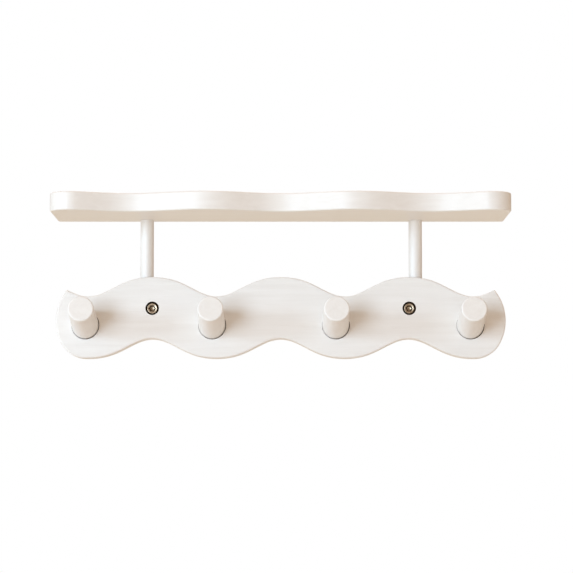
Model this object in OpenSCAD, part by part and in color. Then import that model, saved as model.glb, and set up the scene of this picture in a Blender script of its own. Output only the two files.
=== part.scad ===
// Wall hook rack: a wave-shaped backboard with four round pegs, two posts
// and a wave-fronted shelf. Wall plane at y = 0, everything in front of it
// at negative y, z up, origin midway between the two wall screws.

/* [Overall] */
// overall length of the backboard and of the shelf
rack_w = 405.2; // [330:0.2:490]
// height of the wavy board, from its lower edge straight up to its upper edge
board_h = 55.7; // [47:0.1:69]
// thickness of the board
board_t = 18; // [15:0.5:24]
// crest height of the board's wave as a share of its wave length
board_wave_share = 0.076; // [0.04:0.0005:0.09]
// how much broader the upper crests and lower troughs are than a plain wave
board_broadness = 0.12; // [0:0.01:0.2]
// rounding of the long edges of board and shelf
edge_r = 1.5; // [0.5:0.1:2.5]

/* [Shelf] */
// depth of the shelf from the wall to its lobes
shelf_d = 100; // [80:1:130]
// thickness of the shelf
shelf_t = 16.5; // [14:0.5:22]
// how far the front edge swings between lobe and recess
shelf_swing = 17.5; // [8:0.5:22]
// height of the shelf's underside above the wall screws
shelf_z = 80.2; // [70:0.2:110]
// radius of the two front corners in plan
shelf_front_r = 18; // [12:0.5:24]
// radius of the two back corners in plan
shelf_back_r = 4; // [3:0.5:8]

/* [Posts] */
// diameter of the two round posts
post_d = 12; // [8:0.5:14.5]
// depth of the post's seat in the board's top edge
post_seat_low = 17; // [12:0.5:19]
// depth of the post's seat in the shelf's underside
post_seat_high = 9; // [6:0.5:11]
// how far each post stands outside the outer crest
post_shift = 5.3; // [0:0.1:12]
// how much farther out the right post stands than the left one
post_skew = 0.9; // [0:0.1:3]

/* [Pegs] */
// diameter of the four pegs where they leave the board
peg_d = 24.2; // [18:0.2:30]
// diameter of their free ends
peg_end_d = 22.8; // [17:0.2:30]
// length of a peg in front of the board, along its axis
peg_out = 52.6; // [35:0.2:70]
// upward tilt of the pegs in degrees
peg_tilt = 12; // [0:0.5:18]
// depth of the peg's seat in the board, along its axis
peg_seat = 8; // [5:0.5:9]
// height of the pegs' feet relative to the wall screws
peg_z = -15; // [-20:0.2:-10]
// rounding of the free end of a peg
peg_end_r = 1.4; // [0.5:0.1:3]

/* [Screws] */
// outer diameter of the wall screws' thread
wall_screw_d = 5.8; // [4.6:0.2:7]
// diameter of the wall screws' heads
wall_head_d = 9.6; // [8:0.2:11]
// reach of the wall screws behind the board
wall_screw_reach = 38; // [25:1:50]
// outer diameter of the peg screws' thread
peg_screw_d = 4; // [3:0.2:5]
// length of the peg screws
peg_screw_len = 35; // [28:1:45]

/* [Hidden] */
// radial gaps: a glued seat, a screw in its hole, a head in its recess
glue_gap = 0.1;
hole_gap = 0.3;
head_gap = 1.05;
// the peg and post seats open out a little at the board's surface
mouth_gap = 0.45;
mouth_shift = 0.24;
mouth_depth = 2.5;

// backboard: three full waves between the feet of the two ends
end_reach = 0.523 * board_h;
board_wave = (rack_w / 2 - end_reach) / 1.5;
board_rise = board_wave_share * board_wave;
crest_top = 0.51 * board_h;
crest_low = crest_top - board_h;
board_low = crest_low - 2 * board_rise;
foot_r = 0.435 * board_h;
foot_x = 1.5 * board_wave + 0.04 * board_h;
foot_z = board_low + foot_r;
side_r = 0.775 * board_h;
side_x = rack_w / 2 - side_r;
side_z = foot_z + sqrt(pow(side_r - foot_r, 2) - pow(foot_x - side_x, 2));
crest_segments = 38;

// shelf: lobes and recesses counted from the middle recess
shelf_wave = rack_w / 3.07;
shelf_mid = shelf_d - shelf_swing / 2;

// posts and screws follow the outer crests
post_x = [-board_wave - post_shift, board_wave + post_shift + post_skew];
post_y = -board_t / 2;
screw_x = board_wave + 0.1;
wall_hole_d = wall_screw_d + 2 * hole_gap;
wall_recess_d = wall_head_d + 2 * head_gap;
wall_recess_depth = 5.5;
wall_head_h = 4;
wall_shank_r = 0.38 * wall_screw_d;
hex_flats = 5;
hex_depth = 2.6;

// each peg sits near a trough of the board, shifted by its own amount
peg_x = [
    -1.5 * board_wave - 2.6,
    -0.5 * board_wave - 4.1,
    0.5 * board_wave - 8.4,
    1.5 * board_wave - 2.9
];
peg_sink = 1.5;
peg_head_s = peg_sink - board_t / cos(peg_tilt);
peg_head_r = 0.95 * peg_screw_d;
peg_head_rim = 0.4;
peg_head_h = peg_head_r - 0.4 * peg_screw_d;
peg_shank_r = 0.37 * peg_screw_d;

// threads are drawn as rings of this pitch and root
wall_pitch = 2.6;
wall_root_r = 0.34 * wall_screw_d;
peg_pitch = 1.8;
peg_root_r = 0.33 * peg_screw_d;

// a point on the board's upper (way = 1) or lower (way = -1) edge
function on_edge(x, way) =
    let (a = 360 * x / board_wave, crest = way > 0 ? crest_top : crest_low)
    [x, crest + board_rise * (cos(a) - 1 - way * board_broadness * (cos(2 * a) - 1))];

// where the top edge meets the round end, found by halving
function past_end(x) = norm(on_edge(x, 1) - [side_x, side_z]) - side_r;
function top_end(a, b, n) =
    n == 0 ? (a + b) / 2
    : past_end((a + b) / 2) > 0 ? top_end(a, (a + b) / 2, n - 1)
    : top_end((a + b) / 2, b, n - 1);
top_u = top_end(1.2 * board_wave, 1.9 * board_wave, 30);

function arc(cx, cz, r, a0, a1, n) =
    [for (k = [0:n]) let (a = a0 + (a1 - a0) * k / n) [cx + r * cos(a), cz + r * sin(a)]];
function mirrored(pts) = [for (k = [len(pts) - 1:-1:0]) [-pts[k][0], pts[k][1]]];

// right end from the foot up to the corner on the top edge
corner = on_edge(top_u, 1);
corner_a = atan2(corner[1] - side_z, corner[0] - side_x);
foot_a = atan2(foot_z - side_z, foot_x - side_x);
right_end = concat(
    arc(foot_x, foot_z, foot_r, -90, foot_a, 10),
    [for (p = arc(side_x, side_z, side_r, foot_a, corner_a, 18)) if (p[1] > foot_z + foot_r * sin(foot_a) + 0.1) p]
);
edge_n = 3 * crest_segments;
top_edge = [for (k = [1:edge_n - 1]) on_edge(top_u * (1 - 2 * k / edge_n), 1)];
low_edge = [for (k = [0:edge_n]) on_edge(1.5 * board_wave * (2 * k / edge_n - 1), -1)];
board_shape = concat(right_end, top_edge, mirrored(right_end), low_edge);

// the board's face in triangles: a ladder between the long edges, a fan at each end
end_n = len(right_end);
low_0 = 2 * end_n + edge_n - 1;
function top_i(k) = end_n - 1 + k;
function low_i(k) = low_0 + edge_n - k;
board_face = concat(
    [for (i = [0:end_n - 2]) [low_i(0), i, i + 1]],
    [for (k = [0:edge_n - 1]) each [
        [top_i(k), top_i(k + 1), low_i(k + 1)],
        [top_i(k), low_i(k + 1), low_i(k)]
    ]],
    [for (i = [top_i(edge_n):low_0 - 2]) [low_i(edge_n), i, i + 1]]
);

// the shelf's front edge and the corner circle that touches it and the side
function front_y(x) = -shelf_mid + shelf_swing / 2 * cos(360 * x / shelf_wave);
function front_slope(x) =
    -shelf_swing / 2 * 2 * PI / shelf_wave * sin(360 * x / shelf_wave);
function corner_gap(x) =
    let (s = front_slope(x))
    x - shelf_front_r * s / sqrt(1 + s * s) - (rack_w / 2 - shelf_front_r);
function front_end(a, b, n) =
    n == 0 ? (a + b) / 2
    : corner_gap((a + b) / 2) > 0 ? front_end(a, (a + b) / 2, n - 1)
    : front_end((a + b) / 2, b, n - 1);
front_x = front_end(rack_w / 2 - 3 * shelf_front_r, rack_w / 2, 30);
front_s = front_slope(front_x);
front_cy = front_y(front_x) + shelf_front_r / sqrt(1 + front_s * front_s);
front_cx = rack_w / 2 - shelf_front_r;
front_a = atan2(front_y(front_x) - front_cy, front_x - front_cx);
front_n = 3 * crest_segments;
front_edge = [for (k = [0:front_n - 1]) let (x = front_x * (2 * k / front_n - 1)) [x, front_y(x)]];
right_side = concat(
    arc(front_cx, front_cy, shelf_front_r, front_a, 0, 10),
    arc(rack_w / 2 - shelf_back_r, -shelf_back_r, shelf_back_r, 0, 90, 5)
);
left_side = [for (k = [0:len(right_side) - 2]) mirrored(right_side)[k]];
shelf_shape = concat([[0, 0]], left_side, front_edge, right_side);
shelf_face = [for (i = [1:len(shelf_shape) - 2]) [0, i, i + 1]];

// a closed outline moved inwards by d, corner by corner
function unit(v) = v / norm(v);
function inset(pts, d) =
    let (n = len(pts))
    [for (i = [0:n - 1])
        let (
            e0 = unit(pts[i] - pts[(i + n - 1) % n]),
            e1 = unit(pts[(i + 1) % n] - pts[i]),
            n0 = [-e0[1], e0[0]],
            n1 = [-e1[1], e1[0]]
        )
        pts[i] + d * (n0 + n1) / (1 + n0 * n1)];

// a slab of this outline with rounded edges above and below
module slab(shape, face, thick, edge) {
    n = len(shape);
    steps = 3;
    low = [for (k = [0:steps]) [edge * (1 - sin(90 * k / steps)), edge * (1 - cos(90 * k / steps))]];
    rings = concat(low, [for (k = [steps:-1:0]) [low[k][0], thick - low[k][1]]]);
    last = len(rings) - 1;
    points = [for (ring = rings) for (p = inset(shape, ring[0])) [p[0], p[1], ring[1]]];
    bands = [for (j = [0:last - 1]) for (i = [0:n - 1])
        let (a = j * n + i, b = j * n + (i + 1) % n)
        each [[a, a + n, b + n], [a, b + n, b]]];
    top = [for (f = face) [f[2] + last * n, f[1] + last * n, f[0] + last * n]];
    polyhedron(points, concat(face, top, bands));
}

// a turned piece along +z from a half profile
module turned(profile) rotate_extrude($fn = 64) polygon(profile);

// ring ridges of a thread from z = 0 down to -len, ending in a point
function ridges(len, pitch, root, crest) = [
    for (k = [0:floor((len - 2 * crest) / pitch) - 1])
        for (p = [[root, 0.05], [crest, 0.35], [crest, 0.65], [root, pitch - 0.4]])
            [p[0], -k * pitch - p[1]]
];

// everything on a peg's own axis: local z runs out of the board's face
module on_peg_axis(x) translate([x, -board_t, peg_z]) rotate([90 - peg_tilt, 0, 0]) children();
module on_wall_axis(x) translate([x, 0, 0]) rotate([90, 0, 0]) children();

module peg_socket() {
    top = board_t / cos(peg_tilt);
    translate([0, 0, -peg_seat]) cylinder(d = peg_d + 2 * glue_gap, h = peg_seat + peg_d, $fn = 96);
    translate([mouth_shift, -mouth_shift, -peg_d / 2 * tan(peg_tilt) - mouth_depth])
        cylinder(d = peg_d + 2 * mouth_gap, h = peg_d, $fn = 96);
    translate([0, 0, -top - peg_d]) cylinder(r = peg_head_r + hole_gap, h = peg_sink + peg_d + peg_head_rim, $fn = 48);
    translate([0, 0, peg_head_s + peg_head_rim])
        cylinder(r1 = peg_head_r + hole_gap, r2 = peg_head_r + hole_gap - peg_head_h, h = peg_head_h, $fn = 48);
    translate([0, 0, -top]) cylinder(d = peg_screw_d + 2 * hole_gap, h = top, $fn = 48);
}

module backboard() {
    color("AntiqueWhite") difference() {
        rotate([90, 0, 0]) slab(board_shape, board_face, board_t, edge_r);
        for (x = peg_x) on_peg_axis(x) peg_socket();
        for (x = [-screw_x, screw_x]) on_wall_axis(x) {
            translate([0, 0, -1]) cylinder(d = wall_hole_d, h = board_t + 2, $fn = 48);
            translate([0, 0, board_t - wall_recess_depth]) cylinder(d = wall_recess_d, h = wall_recess_depth + 1, $fn = 64);
        }
        for (x = post_x) translate([x, post_y, crest_top]) {
            translate([0, 0, -post_seat_low]) cylinder(d = post_d + 2 * glue_gap, h = post_seat_low + 5, $fn = 64);
            translate([0, 0, -mouth_depth]) cylinder(d = post_d + 2 * mouth_gap, h = mouth_depth + 5, $fn = 64);
        }
    }
}

module shelf() {
    color("AntiqueWhite") difference() {
        translate([0, 0, shelf_z]) slab(shelf_shape, shelf_face, shelf_t, edge_r);
        for (x = post_x)
            translate([x, post_y, shelf_z - 1]) cylinder(d = post_d + 2 * glue_gap, h = post_seat_high + 1, $fn = 64);
    }
}

module post(x) {
    chamfer = 0.8;
    low = crest_top - post_seat_low + glue_gap;
    high = shelf_z + post_seat_high - glue_gap;
    r = post_d / 2;
    color("Linen") translate([x, post_y, 0]) turned([
        [0, low], [r - chamfer, low], [r, low + chamfer],
        [r, high - chamfer], [r - chamfer, high], [0, high]
    ]);
}

module peg(x) {
    r = peg_d / 2;
    end_r = peg_end_d / 2;
    foot = glue_gap - peg_seat;
    round_end = [for (k = [0:4]) [
        end_r - peg_end_r + peg_end_r * cos(90 * k / 4),
        peg_out - peg_end_r + peg_end_r * sin(90 * k / 4)
    ]];
    color("Linen") on_peg_axis(x) difference() {
        turned(concat([[0, foot], [r - 0.6, foot], [r, foot + 0.6], [r, 0]], round_end, [[0, peg_out]]));
        translate([0, 0, foot - 1])
            cylinder(d = peg_screw_d + glue_gap, h = peg_head_s + peg_screw_len - foot + 2, $fn = 48);
    }
}

module peg_screw(x) {
    under = peg_head_s + peg_head_rim + peg_head_h;
    thread_z = under + 5;
    thread_len = peg_head_s + peg_screw_len - thread_z;
    rings = ridges(thread_len, peg_pitch, peg_root_r, peg_screw_d / 2);
    color("LightSteelBlue") on_peg_axis(x) difference() {
        turned(concat(
            [[0, peg_head_s], [peg_head_r, peg_head_s], [peg_head_r, peg_head_s + peg_head_rim]],
            [[peg_head_r - peg_head_h, under], [peg_shank_r, under], [peg_shank_r, thread_z]],
            [for (p = rings) [p[0], thread_z - p[1]]],
            [[0, thread_z + thread_len]]
        ));
        for (a = [45, 135]) rotate([0, 0, a])
            translate([-0.55 * peg_screw_d, -0.12 * peg_screw_d, peg_head_s - 1])
                cube([1.1 * peg_screw_d, 0.24 * peg_screw_d, 2.6]);
    }
}

module wall_screw(x) {
    under = board_t - wall_recess_depth;
    top = under + wall_head_h;
    r = wall_head_d / 2;
    color("SaddleBrown") on_wall_axis(x) difference() {
        turned(concat(
            [[0, -wall_screw_reach]],
            [for (k = [1:len(wall_rings)]) wall_rings[len(wall_rings) - k]],
            [[wall_shank_r, 0], [wall_shank_r, under], [r, under]],
            [[r, top - 0.6], [r - 0.6, top], [0, top]]
        ));
        translate([0, 0, top - hex_depth]) cylinder(d = hex_flats / cos(30), h = hex_depth + 1, $fn = 6);
    }
}
wall_rings = ridges(wall_screw_reach, wall_pitch, wall_root_r, wall_screw_d / 2);

module post_left() post(post_x[0]);
module post_right() post(post_x[1]);
module peg_1() peg(peg_x[0]);
module peg_2() peg(peg_x[1]);
module peg_3() peg(peg_x[2]);
module peg_4() peg(peg_x[3]);
module peg_screw_1() peg_screw(peg_x[0]);
module peg_screw_2() peg_screw(peg_x[1]);
module peg_screw_3() peg_screw(peg_x[2]);
module peg_screw_4() peg_screw(peg_x[3]);
module wall_screw_left() wall_screw(-screw_x);
module wall_screw_right() wall_screw(screw_x);

backboard();
shelf();
post_left();
post_right();
peg_1();
peg_2();
peg_3();
peg_4();
peg_screw_1();
peg_screw_2();
peg_screw_3();
peg_screw_4();
wall_screw_left();
wall_screw_right();
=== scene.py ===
"""Looks of the wall hook rack: painted wood pieces, bronze wall screws, zinc peg screws."""

import math

import bmesh
import bpy
from mathutils import Matrix, Vector


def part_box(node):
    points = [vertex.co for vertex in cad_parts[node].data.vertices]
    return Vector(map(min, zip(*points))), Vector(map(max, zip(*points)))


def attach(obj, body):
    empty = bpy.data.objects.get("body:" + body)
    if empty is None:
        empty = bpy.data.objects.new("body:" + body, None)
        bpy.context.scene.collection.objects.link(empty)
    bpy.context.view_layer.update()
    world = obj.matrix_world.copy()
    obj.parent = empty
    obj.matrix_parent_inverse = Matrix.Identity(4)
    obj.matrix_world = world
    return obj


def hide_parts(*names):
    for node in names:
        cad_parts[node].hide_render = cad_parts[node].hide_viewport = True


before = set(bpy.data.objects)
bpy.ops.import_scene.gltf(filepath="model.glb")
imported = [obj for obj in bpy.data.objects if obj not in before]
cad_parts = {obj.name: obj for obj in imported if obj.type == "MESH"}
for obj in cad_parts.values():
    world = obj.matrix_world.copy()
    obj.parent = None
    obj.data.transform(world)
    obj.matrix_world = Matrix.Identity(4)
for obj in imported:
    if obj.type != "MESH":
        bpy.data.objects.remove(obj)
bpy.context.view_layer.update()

MM = 0.001
TAU = 2 * math.pi

# ---------------------------------------------------------------- named sizes, metres
board_lo, board_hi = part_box("backboard")
shelf_lo, shelf_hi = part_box("shelf")
RACK_W = board_hi.x - board_lo.x
BOARD_T = board_hi.y - board_lo.y
BOARD_H = 55.7 * MM
WAVE_SHARE = 0.076
BROADNESS = 0.12
EDGE_R = 1.5 * MM
# places of the cuts between the board's bores, as shares of the way from right to left
RUNGS = (0.096, 0.24, 0.5, 0.76, 0.904)
# points nearer than this are one point, and a radius below this is the axis itself
WELD = 0.001 * MM
ON_AXIS = 1e-7

SHELF_D = shelf_hi.y - shelf_lo.y
SHELF_T = shelf_hi.z - shelf_lo.z
SHELF_Z = shelf_lo.z
SHELF_SWING = 17.5 * MM
SHELF_FRONT_R = 18 * MM
SHELF_BACK_R = 4 * MM

POST_D = 12 * MM
POST_GAP = 0.1 * MM
PEG_D = 24.2 * MM
PEG_END_D = 22.8 * MM
PEG_OUT = 52.6 * MM
PEG_TILT = math.radians(12)
PEG_SEAT = 8 * MM
PEG_Z = -15 * MM
PEG_END_R = 1.4 * MM
MOUTH_GAP = 0.45 * MM
MOUTH_SHIFT = 0.24 * MM
MOUTH_DEPTH = 2.5 * MM

WALL_SCREW_D = 5.8 * MM
WALL_HEAD_D = 9.6 * MM
WALL_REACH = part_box("wall_screw_left")[1].y
WALL_HEAD_H = 4 * MM
WALL_RECESS = 5.5 * MM
WALL_RECESS_D = WALL_HEAD_D + 2.1 * MM
HEX_FLATS = 5 * MM
HEX_DEPTH = 2.6 * MM
WALL_PITCH = 2.6 * MM
PEG_SCREW_D = 4 * MM
PEG_SCREW_LEN = 35 * MM
PEG_HEAD_R = 0.95 * PEG_SCREW_D
PEG_HEAD_RIM = 0.4 * MM
PEG_PITCH = 1.8 * MM
HOLE_GAP = 0.3 * MM
# along a peg's axis, its screw's head starts this far inside the board's back
SCREW_SINK = 1.5 * MM
THROUGH = BOARD_T / math.cos(PEG_TILT)
PEG_HEAD_S = SCREW_SINK - THROUGH

# the backboard's wave and its two ends
WAVE = (RACK_W / 2 - 0.523 * BOARD_H) / 1.5
RISE = WAVE_SHARE * WAVE
CREST_TOP = 0.51 * BOARD_H
CREST_LOW = CREST_TOP - BOARD_H
FOOT_R = 0.435 * BOARD_H
FOOT_X = 1.5 * WAVE + 0.04 * BOARD_H
FOOT_Z = CREST_LOW - 2 * RISE + FOOT_R
SIDE_R = 0.775 * BOARD_H
SIDE_X = RACK_W / 2 - SIDE_R
SIDE_Z = FOOT_Z + math.sqrt((SIDE_R - FOOT_R) ** 2 - (FOOT_X - SIDE_X) ** 2)

SHELF_WAVE = RACK_W / 3.07
SHELF_MID = SHELF_D - SHELF_SWING / 2


def middle(low_high):
    return (low_high[0] + low_high[1]) / 2


POSTS = {n: middle(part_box(n)) for n in ("post_left", "post_right")}
WALL_SCREWS = {n: middle(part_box(n)) for n in ("wall_screw_left", "wall_screw_right")}
PEGS = {f"peg_{k}": middle(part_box(f"peg_{k}")).x for k in (1, 2, 3, 4)}


# ---------------------------------------------------------------- outlines
def on_edge(x, way):
    """A point on the board's upper (way 1) or lower (way -1) edge."""
    a = TAU * x / WAVE
    crest = CREST_TOP if way > 0 else CREST_LOW
    return (x, crest + RISE * (math.cos(a) - 1 - way * BROADNESS * (math.cos(2 * a) - 1)))


def halve(past, low, high):
    """The place between low and high where past() turns positive."""
    for _ in range(40):
        mid = (low + high) / 2
        if past(mid) > 0:
            high = mid
        else:
            low = mid
    return (low + high) / 2


def arc(cx, cy, r, a0, a1, n):
    angles = [a0 + (a1 - a0) * k / n for k in range(n + 1)]
    return [(cx + r * math.cos(a), cy + r * math.sin(a)) for a in angles]


def mirrored(points):
    return [(-x, y) for x, y in reversed(points)]


def board_outline(fine=100):
    """The board's outline from the right foot round over the top, and the fields of its face."""
    def past_side(u):
        return math.dist(on_edge(u, 1), (SIDE_X, SIDE_Z)) - SIDE_R

    # the upper edge ends where it meets the side's arc
    top_u = halve(past_side, 1.2 * WAVE, 1.9 * WAVE)
    corner = on_edge(top_u, 1)
    foot_a = math.atan2(FOOT_Z - SIDE_Z, FOOT_X - SIDE_X)
    corner_a = math.atan2(corner[1] - SIDE_Z, corner[0] - SIDE_X)
    foot = arc(FOOT_X, FOOT_Z, FOOT_R, -math.pi / 2, foot_a, 26)
    side = arc(SIDE_X, SIDE_Z, SIDE_R, foot_a, corner_a, 40)
    end = foot + [p for p in side if p[1] > foot[-1][1] + 0.3 * MM]
    n = 3 * fine
    top = [on_edge(top_u * (1 - 2 * k / n), 1) for k in range(1, n)]
    low = [on_edge(1.5 * WAVE * (2 * k / n - 1), -1) for k in range(n + 1)]
    top_0, low_0 = len(end) - 1, 2 * len(end) + n - 1
    # six fields, each with one bore or recess, because one large face shades badly once it is cut
    rungs = [round(n * share) for share in RUNGS]
    fields = [
        [*range(top_0 + a, top_0 + b + 1), *range(low_0 + n - b, low_0 + n - a + 1)]
        for a, b in zip(rungs, rungs[1:])]
    fields.append([*range(top_0 + rungs[0] + 1), *range(low_0 + n - rungs[0], low_0 + n + 1)])
    fields.append([*range(top_0 + rungs[-1], low_0 + n - rungs[-1] + 1)])
    return end + top + mirrored(end) + low, fields


def front_y(x):
    """The shelf's wavy front edge."""
    return -SHELF_MID + SHELF_SWING / 2 * math.cos(TAU * x / SHELF_WAVE)


def front_slope(x):
    return -SHELF_SWING / 2 * TAU / SHELF_WAVE * math.sin(TAU * x / SHELF_WAVE)


def shelf_outline(fine=100):
    """The shelf's outline from the middle of its back, and its face as a fan of triangles."""
    def gap(x):
        s = front_slope(x)
        return x - SHELF_FRONT_R * s / math.sqrt(1 + s * s) - (RACK_W / 2 - SHELF_FRONT_R)

    x0 = halve(gap, RACK_W / 2 - 3 * SHELF_FRONT_R, RACK_W / 2)
    s = front_slope(x0)
    cx = RACK_W / 2 - SHELF_FRONT_R
    cy = front_y(x0) + SHELF_FRONT_R / math.sqrt(1 + s * s)
    a0 = math.atan2(front_y(x0) - cy, x0 - cx)
    right = arc(cx, cy, SHELF_FRONT_R, a0, 0, 30)
    right += arc(RACK_W / 2 - SHELF_BACK_R, -SHELF_BACK_R, SHELF_BACK_R, 0, math.pi / 2, 12)
    n = 3 * fine
    front = [(x0 * (2 * k / n - 1), front_y(x0 * (2 * k / n - 1))) for k in range(1, n)]
    points = [(0, 0)] + mirrored(right) + front + right
    return points, [(0, i, i + 1) for i in range(1, len(points) - 1)]


def inset(points, d):
    """The outline moved inwards by d."""
    out = []
    for k, p in enumerate(points):
        a, b = Vector(points[k - 1]), Vector(points[(k + 1) % len(points)])
        e0, e1 = (Vector(p) - a).normalized(), (b - Vector(p)).normalized()
        n0, n1 = Vector((-e0.y, e0.x)), Vector((-e1.y, e1.x))
        out.append(Vector(p) + d * (n0 + n1) / (1 + n0.dot(n1)))
    return out


# ---------------------------------------------------------------- mesh building
def new_object(name, bm, material=None):
    bmesh.ops.recalc_face_normals(bm, faces=bm.faces)
    mesh = bpy.data.meshes.new(name)
    bm.to_mesh(mesh)
    bm.free()
    obj = bpy.data.objects.new(name, mesh)
    bpy.context.scene.collection.objects.link(obj)
    if material:
        mesh.materials.append(material)
    return obj


def slab(name, outline, cap, thick, edge, place, steps=8):
    """A rounded slab: place(u, v, w) puts an outline point at height w of the thickness.
    The cap lists the corners of each of its faces."""
    quarter = [TAU / 4 * k / steps for k in range(steps + 1)]
    low = [(edge * (1 - math.sin(a)), edge * (1 - math.cos(a))) for a in quarter]
    levels = low + [(d, thick - w) for d, w in reversed(low)]
    bm = bmesh.new()
    rings = [[bm.verts.new(place(p.x, p.y, w)) for p in inset(outline, d)] for d, w in levels]
    for lower, upper in zip(rings, rings[1:]):
        for k in range(len(lower)):
            j = (k + 1) % len(lower)
            bm.faces.new((lower[k], lower[j], upper[j], upper[k]))
    for end in (rings[0], rings[-1]):
        for face in cap:
            bm.faces.new([end[i] for i in face])
    return new_object(name, bm)


def ring(bm, axis, r, h, segments):
    """A circle of vertices round local z, or one vertex on the axis."""
    if r < ON_AXIS:
        return [bm.verts.new(axis @ Vector((0, 0, h)))]
    turns = [TAU * k / segments for k in range(segments)]
    return [bm.verts.new(axis @ Vector((r * math.cos(a), r * math.sin(a), h))) for a in turns]


def skin(bm, rings):
    """The faces between neighbouring rings."""
    for a, b in zip(rings, rings[1:]):
        n = max(len(a), len(b))
        for k in range(n):
            j = (k + 1) % n
            if len(a) == 1 and len(b) > 1:
                bm.faces.new((a[0], b[k], b[j]))
            elif len(b) == 1 and len(a) > 1:
                bm.faces.new((a[k], b[0], a[j]))
            elif len(a) > 1:
                bm.faces.new((a[k], b[k], b[j], a[j]))


def turned(name, profile, axis=Matrix(), segments=96, material=None):
    """A turned piece round local z from (radius, height) pairs."""
    bm = bmesh.new()
    skin(bm, [ring(bm, axis, r, h, segments) for r, h in profile])
    return new_object(name, bm, material)


def round_rim(r, h, edge, steps=6):
    """The quarter round from the side of a turned piece to its end face at height h."""
    quarter = [TAU / 4 * k / steps for k in range(steps + 1)]
    return [(r - edge + edge * math.cos(a), h - edge * (1 - math.sin(a))) for a in quarter]


def cut(target, cutters):
    """Takes the cutters out of the target. The cut faces get each cutter's material."""
    for cutter in cutters:
        mod = target.modifiers.new("cut", "BOOLEAN")
        mod.operation = "DIFFERENCE"
        mod.solver = "EXACT"
        mod.material_mode = "TRANSFER"
        mod.object = cutter
    bake(target)
    # the solver leaves a few doubled points along the cuts
    bm = bmesh.new()
    bm.from_mesh(target.data)
    bmesh.ops.remove_doubles(bm, verts=bm.verts, dist=WELD)
    bm.to_mesh(target.data)
    bm.free()
    for cutter in cutters:
        bpy.data.objects.remove(cutter)


def bake(obj):
    """Turns the object's modifiers into its mesh."""
    deps = bpy.context.evaluated_depsgraph_get()
    mesh = bpy.data.meshes.new_from_object(obj.evaluated_get(deps), depsgraph=deps)
    obj.modifiers.clear()
    obj.data = mesh


def smooth(obj, angle=35):
    """Smooth shading that stays sharp where faces meet at more than the angle."""
    obj.data.shade_smooth()
    obj.data.set_sharp_from_angle(angle=math.radians(angle))
    mod = obj.modifiers.new("weighted", "WEIGHTED_NORMAL")
    mod.keep_sharp = True
    mod.weight = 50


def peg_axis(x):
    """Local z runs out of the board's face along the peg."""
    return Matrix.Translation((x, -BOARD_T, PEG_Z)) @ Matrix.Rotation(TAU / 4 - PEG_TILT, 4, "X")


def wall_axis(x):
    """Local z runs from the wall plane out to the front."""
    return Matrix.Translation((x, 0, 0)) @ Matrix.Rotation(TAU / 4, 4, "X")


def up_axis(x):
    """Local z runs up a post, in the middle of the board's thickness."""
    return Matrix.Translation((x, -BOARD_T / 2, 0))


# ---------------------------------------------------------------- materials
class Graph:
    """A small helper that adds shader nodes and links them."""

    def __init__(self, name):
        self.material = bpy.data.materials.new(name)
        self.material.use_nodes = True
        self.tree = self.material.node_tree
        self.tree.nodes.clear()
        out = self.add("ShaderNodeOutputMaterial")
        self.shader = self.add("ShaderNodeBsdfPrincipled")
        self.link(self.shader.outputs[0], out.inputs["Surface"])

    def add(self, kind, **values):
        node = self.tree.nodes.new(kind)
        for key, value in values.items():
            setattr(node, key, value)
        return node

    def link(self, a, b):
        self.tree.links.new(a, b)

    def math(self, operation, a, b=0.0, clamp=False):
        node = self.add("ShaderNodeMath", operation=operation, use_clamp=clamp)
        for socket, value in zip(node.inputs, (a, b)):
            if isinstance(value, (int, float)):
                socket.default_value = value
            else:
                self.link(value, socket)
        return node.outputs[0]

    def scaled(self, vector, scale, turn=(0, 0, 0), move=(0, 0, 0)):
        node = self.add("ShaderNodeMapping")
        node.inputs["Location"].default_value = move
        node.inputs["Rotation"].default_value = turn
        node.inputs["Scale"].default_value = scale
        self.link(vector, node.inputs["Vector"])
        return node.outputs[0]

    def noise(self, vector, scale=1.0, detail=3.0, rough=0.5, distortion=0.0):
        node = self.add("ShaderNodeTexNoise")
        node.inputs["Scale"].default_value = scale
        node.inputs["Detail"].default_value = detail
        node.inputs["Roughness"].default_value = rough
        node.inputs["Distortion"].default_value = distortion
        self.link(vector, node.inputs["Vector"])
        return node.outputs["Fac"]

    def span(self, value, a, b, low=0.0, high=1.0):
        node = self.add("ShaderNodeMapRange")
        for key, v in (("From Min", a), ("From Max", b), ("To Min", low), ("To Max", high)):
            node.inputs[key].default_value = v
        self.link(value, node.inputs["Value"])
        return node.outputs["Result"]

    def blend(self, factor, a, b):
        """Colour a where the factor is 0, and colour b where it is 1."""
        node = self.add("ShaderNodeMix", data_type="RGBA", blend_type="MIX")
        for socket, value in ((node.inputs[0], factor), (node.inputs[6], a), (node.inputs[7], b)):
            if isinstance(value, (int, float, tuple)):
                socket.default_value = value
            else:
                self.link(value, socket)
        return node.outputs[2]

    def bump(self, height, strength, distance):
        node = self.add("ShaderNodeBump")
        node.inputs["Strength"].default_value = strength
        node.inputs["Distance"].default_value = distance
        self.link(height, node.inputs["Height"])
        self.link(node.outputs[0], self.shader.inputs["Normal"])

    def edges(self, radius):
        """0 on flat faces, up to 1 where the surface turns within this radius."""
        bevel = self.add("ShaderNodeBevel", samples=4)
        bevel.inputs["Radius"].default_value = radius
        geometry = self.add("ShaderNodeNewGeometry")
        dot = self.add("ShaderNodeVectorMath", operation="DOT_PRODUCT")
        self.link(bevel.outputs[0], dot.inputs[0])
        self.link(geometry.outputs["Normal"], dot.inputs[1])
        return self.span(dot.outputs["Value"], 1.0, 0.93)


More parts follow.
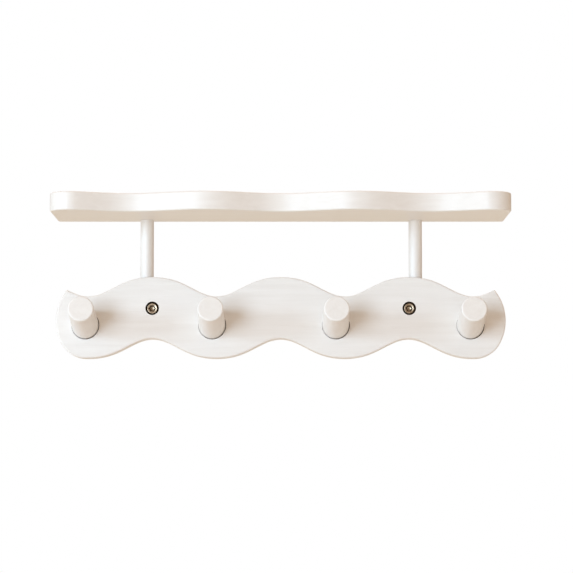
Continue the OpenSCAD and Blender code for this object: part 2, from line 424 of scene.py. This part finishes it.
def painted_wood(name, turn=(0, 0, 0), move=(0, 0, 0), rim=0.0):
    """Satin white paint over faint grain. The grain runs along local x after the turn.
    rim says how strongly a painted highlight lightens the paint on rounded edges."""
    g = Graph(name)
    place = g.add("ShaderNodeTexCoord").outputs["Object"]
    wood = g.scaled(place, (1, 1, 1), turn, move)
    streak = g.noise(g.scaled(wood, (16, 230, 230)), 1.0, 3.0, 0.55, 0.35)
    band = g.noise(g.scaled(wood, (5, 60, 60), move=(3.1, 1.7, 0.4)), 1.0, 2.0, 0.5, 0.6)
    fine = g.noise(g.scaled(wood, (60, 1500, 1500), move=(0.7, 5.2, 2.9)), 1.0, 2.0, 0.6)
    specks = g.noise(g.scaled(wood, (90, 2600, 2600), move=(8.3, 1.1, 6.2)), 1.0, 1.0, 0.5)
    pores = g.span(specks, 0.66, 0.74)
    orange_peel = g.noise(g.scaled(place, (900, 900, 900)), 1.0, 2.0, 0.5)
    edge = g.edges(1.6 * MM)

    paint = g.blend(g.span(streak, 0.30, 0.72), (0.800, 0.772, 0.735, 1), (0.850, 0.828, 0.797, 1))
    paint = g.blend(g.span(band, 0.35, 0.70, 0.0, 0.4), paint, (0.838, 0.812, 0.775, 1))
    paint = g.blend(g.math("MULTIPLY", pores, 0.10), paint, (0.60, 0.54, 0.46, 1))
    # painted highlight: on rounded edges the paint turns lighter, standing in for light caught by the rim
    paint = g.blend(g.math("MULTIPLY", edge, rim), paint, (0.93, 0.92, 0.905, 1))
    patches = g.noise(g.scaled(place, (160, 160, 160)), 1.0, 4.0, 0.65)
    worn = g.math("MULTIPLY", edge, g.span(patches, 0.55, 0.75), True)
    paint = g.blend(g.math("MULTIPLY", worn, 0.3), paint, (0.74, 0.68, 0.59, 1))
    g.link(paint, g.shader.inputs["Base Color"])

    rough = g.math("ADD", g.span(streak, 0.3, 0.7, 0.32, 0.42), g.span(fine, 0.35, 0.65, -0.03, 0.03))
    g.link(g.math("SUBTRACT", rough, g.math("MULTIPLY", worn, 0.06)), g.shader.inputs["Roughness"])
    g.shader.inputs["IOR"].default_value = 1.46
    g.shader.inputs["Specular IOR Level"].default_value = 0.45

    height = g.math("ADD", g.math("MULTIPLY", fine, 0.5), g.math("MULTIPLY", streak, 0.8))
    height = g.math("ADD", height, g.math("MULTIPLY", orange_peel, 0.25))
    height = g.math("SUBTRACT", height, g.math("MULTIPLY", pores, 0.3))
    g.bump(height, 0.55, 0.05 * MM)
    return g.material


def bare_wood(name):
    """The unpainted wood inside bores and seats, made far darker than bare wood as painted shade in the gaps and
    recesses.
    """
    g = Graph(name)
    place = g.add("ShaderNodeTexCoord").outputs["Object"]
    grain = g.noise(g.scaled(place, (40, 700, 700)), 1.0, 4.0, 0.6, 0.4)
    # painted shade: these browns are near black, much darker than bare wood, to stand in for shadow deep in the
    # gaps
    wood = g.blend(g.span(grain, 0.3, 0.7), (0.05, 0.031, 0.018, 1), (0.11, 0.07, 0.042, 1))
    g.link(wood, g.shader.inputs["Base Color"])
    g.shader.inputs["Specular IOR Level"].default_value = 0.1
    g.link(g.span(grain, 0.3, 0.7, 0.75, 0.9), g.shader.inputs["Roughness"])
    g.bump(grain, 0.6, 0.1 * MM)
    return g.material


def metal(name, light, dark, rough, patina_and_shade):
    """Plated steel with turning marks, a darkening in its hollows that is part patina and part painted shade, and
    brighter worn edges.
    """
    g = Graph(name)
    place = g.add("ShaderNodeTexCoord").outputs["Object"]
    mottle = g.noise(g.scaled(place, (700, 700, 700)), 1.0, 4.0, 0.6)
    lines = g.noise(g.scaled(place, (300, 6000, 300)), 1.0, 2.0, 0.6)
    edge = g.edges(0.35 * MM)
    colour = g.blend(g.span(mottle, 0.35, 0.68), dark, light)
    # darker where the ambient occlusion finds hollows: part patina, part painted shade
    hollow_patina_and_shade = g.add("ShaderNodeAmbientOcclusion", samples=4)
    hollow_patina_and_shade.inputs["Distance"].default_value = 3 * MM
    colour = g.blend(g.span(hollow_patina_and_shade.outputs["AO"], 0.75, 0.15, 0.0, 0.85), colour, patina_and_shade)
    bright = tuple(min(1.0, 1.5 * c) for c in light[:3]) + (1,)
    colour = g.blend(g.math("MULTIPLY", edge, 0.6), colour, bright)
    g.link(colour, g.shader.inputs["Base Color"])
    g.shader.inputs["Metallic"].default_value = 1.0
    g.link(g.span(mottle, 0.3, 0.7, rough - 0.06, rough + 0.1), g.shader.inputs["Roughness"])
    g.bump(g.math("ADD", lines, g.math("MULTIPLY", mottle, 0.4)), 0.35, 0.02 * MM)
    return g.material


PAINT_LONG = painted_wood("painted_wood_board")
PAINT_SHELF = painted_wood("painted_wood_shelf", move=(0.63, 0.21, 0.47))
PAINT_POST = painted_wood("painted_wood_post", turn=(0, TAU / 4, 0), move=(0.3, 0.0, 0.9))
# bare wood for the cut faces of bores, seats and gaps, darkened as painted shade
BORE_WOOD_AND_SHADE = bare_wood("bore_wood_with_painted_shade")
BRONZE = metal("antique_bronze", (0.50, 0.40, 0.29, 1), (0.33, 0.25, 0.17, 1), 0.30, (0.05, 0.035, 0.02, 1))
# painted shade: a far darker bronze for the socket's walls, where the socket's shadow falls
SOCKET_SHADE_BRONZE = metal(
    "bronze_darkened_as_socket_shade", (0.20, 0.15, 0.10, 1), (0.09, 0.065, 0.04, 1), 0.38, (0.03, 0.02, 0.012, 1))
ZINC = metal("zinc_plate", (0.62, 0.64, 0.66, 1), (0.48, 0.50, 0.52, 1), 0.34, (0.12, 0.12, 0.12, 1))


# ---------------------------------------------------------------- pieces
def piece(obj, node):
    """Puts the finished piece in the CAD node's place."""
    obj.name = node + "_finish"
    obj.data.name = obj.name
    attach(obj, "root")
    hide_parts(node)


def peg_cutters(x):
    """A peg's seat, the seat's open mouth and the bore for the screw from the back."""
    r = PEG_D / 2
    mouth = -r * math.tan(PEG_TILT) - MOUTH_DEPTH
    seat = [(0, -PEG_SEAT), (r + POST_GAP, -PEG_SEAT), (r + POST_GAP, PEG_D), (0, PEG_D)]
    opening = [(0, mouth), (r + MOUTH_GAP, mouth), (r + MOUTH_GAP, PEG_D), (0, PEG_D)]
    head_r, hole_r = PEG_HEAD_R + HOLE_GAP, PEG_SCREW_D / 2 + HOLE_GAP
    rim = PEG_HEAD_S + PEG_HEAD_RIM
    past_back, past_seat = -THROUGH - PEG_D / 2, -PEG_SEAT + MM
    bore = [
        (0, past_back), (head_r, past_back), (head_r, rim),
        (hole_r, rim + (head_r - hole_r)), (hole_r, past_seat), (0, past_seat)]
    beside = peg_axis(x) @ Matrix.Translation((MOUTH_SHIFT, -MOUTH_SHIFT, 0))
    return [
        turned("seat", seat, peg_axis(x), 128, BORE_WOOD_AND_SHADE),
        turned("mouth", opening, beside, 128, BORE_WOOD_AND_SHADE),
        turned("bore", bore, peg_axis(x), 60, BORE_WOOD_AND_SHADE)]


def recess_cutter(x):
    """A wall screw's through hole and its recess, with a small worn edge at the face."""
    r, hole_r = WALL_RECESS_D / 2, WALL_SCREW_D / 2 + HOLE_GAP
    floor = BOARD_T - WALL_RECESS
    edge = 0.25 * MM
    past_front = BOARD_T + 2 * MM
    recess = [
        (0, -MM), (hole_r, -MM), (hole_r, floor), (r, floor), (r, BOARD_T - edge),
        (r + 0.1 * MM, BOARD_T - 0.08 * MM), (r + edge, BOARD_T), (r + edge, past_front), (0, past_front)]
    return turned("recess", recess, wall_axis(x), 96, BORE_WOOD_AND_SHADE)


def post_cutter(x, low, high, mouth=None):
    """A post's seat from low to high, wider from the mouth's height on where there is a mouth."""
    r = POST_D / 2 + POST_GAP
    profile = [(0, low), (r, low), (r, high), (0, high)]
    if mouth is not None:
        wide = POST_D / 2 + MOUTH_GAP
        profile[2:] = [(r, mouth), (wide, mouth), (wide, high), (0, high)]
    return turned("seat", profile, up_axis(x), 96, BORE_WOOD_AND_SHADE)


def make_backboard():
    obj = slab("backboard", *board_outline(), BOARD_T, EDGE_R, lambda u, v, w: (u, -w, v))
    obj.data.materials.append(PAINT_LONG)
    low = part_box("post_left")[0].z - POST_GAP
    above, mouth = CREST_TOP + 5 * MM, CREST_TOP - MOUTH_DEPTH
    cutters = [cutter for x in PEGS.values() for cutter in peg_cutters(x)]
    cutters += [recess_cutter(c.x) for c in WALL_SCREWS.values()]
    cutters += [post_cutter(c.x, low, above, mouth) for c in POSTS.values()]
    cut(obj, cutters)
    smooth(obj)
    piece(obj, "backboard")


def make_shelf():
    obj = slab("shelf", *shelf_outline(), SHELF_T, EDGE_R, lambda u, v, w: (u, v, SHELF_Z + w))
    obj.data.materials.append(PAINT_SHELF)
    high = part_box("post_left")[1].z + POST_GAP
    cut(obj, [post_cutter(c.x, SHELF_Z - MM, high) for c in POSTS.values()])
    smooth(obj)
    piece(obj, "shelf")


def make_post(node):
    low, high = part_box(node)
    r, chamfer = POST_D / 2, 0.8 * MM
    steps = 12
    straight = high.z - low.z - 2 * chamfer
    sides = [(r, low.z + chamfer + straight * k / steps) for k in range(steps + 1)]
    profile = [(0, low.z), (r - chamfer, low.z)] + sides + [(r - chamfer, high.z), (0, high.z)]
    obj = turned(node, profile, up_axis(POSTS[node].x), 96, PAINT_POST)
    smooth(obj)
    piece(obj, node)


def make_peg(node, k):
    foot, chamfer = POST_GAP - PEG_SEAT, 0.6 * MM
    bore_r = PEG_SCREW_D / 2 + POST_GAP / 2
    bore_end = PEG_HEAD_S + PEG_SCREW_LEN + MM
    r, end_r = PEG_D / 2, PEG_END_D / 2
    straight = PEG_OUT - PEG_END_R
    steps = 16
    sides = [(r + (end_r - r) * t / steps, straight * t / steps) for t in range(steps)]
    face = [(end_r - PEG_END_R - 0.8 * MM, PEG_OUT), (0.6 * end_r, PEG_OUT), (0.3 * end_r, PEG_OUT), (0, PEG_OUT)]
    profile = [(0, bore_end), (bore_r, bore_end), (bore_r, foot), (r - chamfer, foot), (r, foot + chamfer)]
    profile += sides + round_rim(end_r, PEG_OUT, PEG_END_R, steps=8) + face
    # each peg shows another part of the grain, which runs along the peg
    move = (0.37 * k, 0.19 * k, 0.41 * k)
    paint = painted_wood(f"painted_wood_{node}", turn=(0, TAU / 4, TAU / 4), move=move, rim=0.9)
    obj = turned(node, profile, peg_axis(PEGS[node]), 128, paint)
    smooth(obj)
    piece(obj, node)


def thread(bm, axis, z0, length, pitch, root, crest, segments=40, per_pitch=10):
    """A helical thread round local z from z0 to z0 + length, tapering to a point at the far end.
    A negative length runs the other way. Returns the first ring of vertices."""
    ridge_share, tip_len, blunt = 0.28, 2.2 * crest, 0.04
    n = max(2, int(abs(length) / pitch * per_pitch))
    rings = []
    for j in range(n + 1):
        t = j / n
        z = z0 + length * t
        left = abs(length) * (1 - t)
        fade_in = min(1.0, t * n / per_pitch)
        tip = min(1.0, left / tip_len)
        circle = []
        for k in range(segments):
            turn = (abs(length) * t / pitch - k / segments) % 1.0
            ridge = max(0.0, 1 - abs(turn - 0.5) / ridge_share) * fade_in
            r = (root + (crest - root) * ridge) * max(blunt, tip)
            a = TAU * k / segments
            circle.append(bm.verts.new(axis @ Vector((r * math.cos(a), r * math.sin(a), z))))
        rings.append(circle)
    skin(bm, rings)
    bm.faces.new(rings[-1])
    return rings[0]


def screw(name, axis, head, shank, thread_from, thread_len, pitch, root, crest, segments=40):
    """A turned head and shank, then a helical thread, as one closed mesh."""
    bm = bmesh.new()
    rings = [ring(bm, axis, r, h, segments) for r, h in head + shank]
    rings.append(thread(bm, axis, thread_from, thread_len, pitch, root, crest, segments))
    skin(bm, rings)
    return new_object(name, bm)


def make_wall_screw(node):
    """The socket's walls get a much darker bronze as painted shade, and its drill point keeps the plain bronze."""
    axis = wall_axis(WALL_SCREWS[node].x)
    under = BOARD_T - WALL_RECESS
    top = under + WALL_HEAD_H
    r, hex_r = WALL_HEAD_D / 2, HEX_FLATS / math.sqrt(3)
    dish, corner = 0.25 * MM, 0.2 * MM
    head = [(0, top - dish), (hex_r + dish, top - dish), (hex_r + 0.75 * MM, top)]
    head += list(reversed(round_rim(r, top, 0.6 * MM, steps=5)))
    head += [(r, under + corner), (r - corner, under)]
    shank_r = 0.38 * WALL_SCREW_D
    shank = [(shank_r + corner, under), (shank_r, under - corner), (shank_r, MM)]
    root, crest = 0.34 * WALL_SCREW_D, WALL_SCREW_D / 2
    obj = screw(node, axis, head, shank, 0, -WALL_REACH, WALL_PITCH, root, crest, 48)
    obj.data.materials.append(BRONZE)

    low, mouth_r, point_r = top - HEX_DEPTH, hex_r + 0.35 * MM, 0.62 * hex_r
    socket = [(0, low), (0.7 * hex_r, low), (mouth_r, top - 0.2 * MM), (mouth_r, top + MM), (0, top + MM)]
    point = [(0, low - 0.9 * MM), (point_r, low), (point_r, low + 0.1 * MM), (0, low + 0.1 * MM)]
    # the socket cutter gives the socket's walls the darker bronze, painted shade inside the socket
    cut(obj, [turned("socket", socket, axis, 6, SOCKET_SHADE_BRONZE), turned("drill_point", point, axis, 32, BRONZE)])
    smooth(obj, 30)
    piece(obj, node)


def cross_wing(axis, turn):
    """One of the two crossing wedges that cut a screw's cross recess."""
    d = PEG_SCREW_D
    half_w, deep, shoulder = 0.12 * d, 1.6 * MM, 0.3 * MM
    ends = [
        (-0.55 * d, -MM), (0.55 * d, -MM), (0.52 * d, shoulder),
        (0.16 * d, deep), (-0.16 * d, deep), (-0.52 * d, shoulder)]
    place = axis @ Matrix.Translation((0, 0, PEG_HEAD_S)) @ Matrix.Rotation(turn, 4, "Z")
    bm = bmesh.new()
    a = [bm.verts.new(place @ Vector((x, -half_w, z))) for x, z in ends]
    b = [bm.verts.new(place @ Vector((x, half_w, z))) for x, z in ends]
    bm.faces.new(a)
    bm.faces.new(reversed(b))
    skin(bm, [a, b])
    return new_object("wing", bm, ZINC)


def make_peg_screw(k):
    node = f"peg_screw_{k}"
    axis = peg_axis(PEGS[f"peg_{k}"])
    s, r, shank_r = PEG_HEAD_S, PEG_HEAD_R, 0.37 * PEG_SCREW_D
    drop = r - 0.4 * PEG_SCREW_D
    cone = s + PEG_HEAD_RIM + drop
    head = [(0, s), (r - 0.15 * MM, s), (r, s + 0.12 * MM), (r, s + PEG_HEAD_RIM), (r - drop, cone)]
    start = cone + 5 * MM
    shank = [(shank_r, s + 0.6 * MM + drop), (shank_r, start - 0.6 * MM)]
    root, crest = 0.33 * PEG_SCREW_D, PEG_SCREW_D / 2
    obj = screw(node, axis, head, shank, start, PEG_SCREW_LEN + s - start, PEG_PITCH, root, crest)
    obj.data.materials.append(ZINC)
    cut(obj, [cross_wing(axis, turn) for turn in (TAU / 8, 3 * TAU / 8)])
    smooth(obj, 30)
    piece(obj, node)


make_backboard()
make_shelf()
for name in POSTS:
    make_post(name)
for k, name in enumerate(PEGS, 1):
    make_peg(name, k)
    make_peg_screw(k)
for name in WALL_SCREWS:
    make_wall_screw(name)


# ---------------------------------------------------------------- floor, lights, world, camera
def make_floor():
    """A pale floor well below the rack."""
    size, squares = 1.6, 24
    bm = bmesh.new()
    place = Matrix.Translation((0, -0.2, -0.55))
    bmesh.ops.create_grid(bm, x_segments=squares, y_segments=squares, size=size, matrix=place)
    g = Graph("pale_floor")
    place = g.add("ShaderNodeTexCoord").outputs["Object"]
    speckle = g.noise(g.scaled(place, (60, 60, 60)), 1.0, 3.0, 0.5)
    g.link(g.blend(speckle, (0.76, 0.745, 0.72, 1), (0.80, 0.785, 0.76, 1)), g.shader.inputs["Base Color"])
    g.shader.inputs["Roughness"].default_value = 0.8
    new_object("floor", bm, g.material)


def area(name, az, el, distance, size, power, colour):
    """A round soft light. In degrees, az turns from the front to the viewer's left and el is above the horizon."""
    a, e = math.radians(az), math.radians(el)
    aim = Vector((0, -0.03, 0.025))  # the middle of the rack
    way = Vector((-math.sin(a) * math.cos(e), -math.cos(a) * math.cos(e), math.sin(e)))
    data = bpy.data.lights.new(name, "AREA")
    data.shape = "DISK"
    data.size = size
    data.energy = power
    data.color = colour
    obj = bpy.data.objects.new(name, data)
    obj.location = aim + way * distance
    obj.rotation_euler = (-way).to_track_quat("-Z", "Y").to_euler()
    bpy.context.scene.collection.objects.link(obj)


make_floor()
area("key", 60, 6, 4.0, 1.0, 57, (0.60, 0.82, 1.0))
area("front", 25, 0, 4.0, 1.6, 76, (0.66, 0.83, 1.0))
area("back", 180, 45, 4.0, 1.2, 22, (0.74, 0.87, 1.0))


def make_world():
    """Plain white to the camera. To the rack, a warm soft light that is strongest from below."""
    world = bpy.data.worlds.new("studio")
    bpy.context.scene.world = world
    world.use_nodes = True
    tree = world.node_tree
    tree.nodes.clear()

    def add(kind, **values):
        node = tree.nodes.new(kind)
        for key, value in values.items():
            setattr(node, key, value)
        return node

    def lobe(way, colour, before):
        """Adds a light of this colour that fades from its way to the sides."""
        dot = add("ShaderNodeVectorMath", operation="DOT_PRODUCT")
        dot.inputs[1].default_value = way
        tree.links.new(place.outputs["Generated"], dot.inputs[0])
        part = add("ShaderNodeMath", operation="MAXIMUM")
        tree.links.new(dot.outputs["Value"], part.inputs[0])
        part.inputs[1].default_value = 0
        tint = add("ShaderNodeVectorMath", operation="SCALE")
        tint.inputs[0].default_value = colour
        tree.links.new(part.outputs[0], tint.inputs["Scale"])
        total = add("ShaderNodeVectorMath", operation="ADD")
        tree.links.new(before, total.inputs[0])
        tree.links.new(tint.outputs[0], total.inputs[1])
        return total.outputs[0]

    place = add("ShaderNodeTexCoord")
    base = add("ShaderNodeCombineXYZ")
    for socket, value in zip(base.inputs, (0.30, 0.225, 0.195)):
        socket.default_value = value
    glow = lobe((0, 0, -1), (3.1, 3.0, 2.4), base.outputs[0])
    glow = lobe((0, 0, 1), (0.70, 0.55, 0.38), glow)
    lit, seen = add("ShaderNodeBackground"), add("ShaderNodeBackground")
    tree.links.new(glow, lit.inputs["Color"])
    seen.inputs["Color"].default_value = (1, 1, 1, 1)
    mix, end = add("ShaderNodeMixShader"), add("ShaderNodeOutputWorld")
    tree.links.new(add("ShaderNodeLightPath").outputs["Is Camera Ray"], mix.inputs[0])
    tree.links.new(lit.outputs[0], mix.inputs[1])
    tree.links.new(seen.outputs[0], mix.inputs[2])
    tree.links.new(mix.outputs[0], end.inputs[0])


make_world()

scene = bpy.context.scene
scene.view_settings.view_transform = "Standard"
scene.view_settings.look = "None"

# the camera stands a little below the rack and looks slightly up
camera = bpy.data.objects.new("camera", bpy.data.cameras.new("camera"))
camera.data.sensor_width = 36
camera.data.lens = 156.9
camera.location = (0.0052, -2.260, -0.169)
camera.rotation_euler = (math.radians(94.81), 0, 0)
scene.collection.objects.link(camera)
scene.camera = camera

bpy.context.view_layer.update()
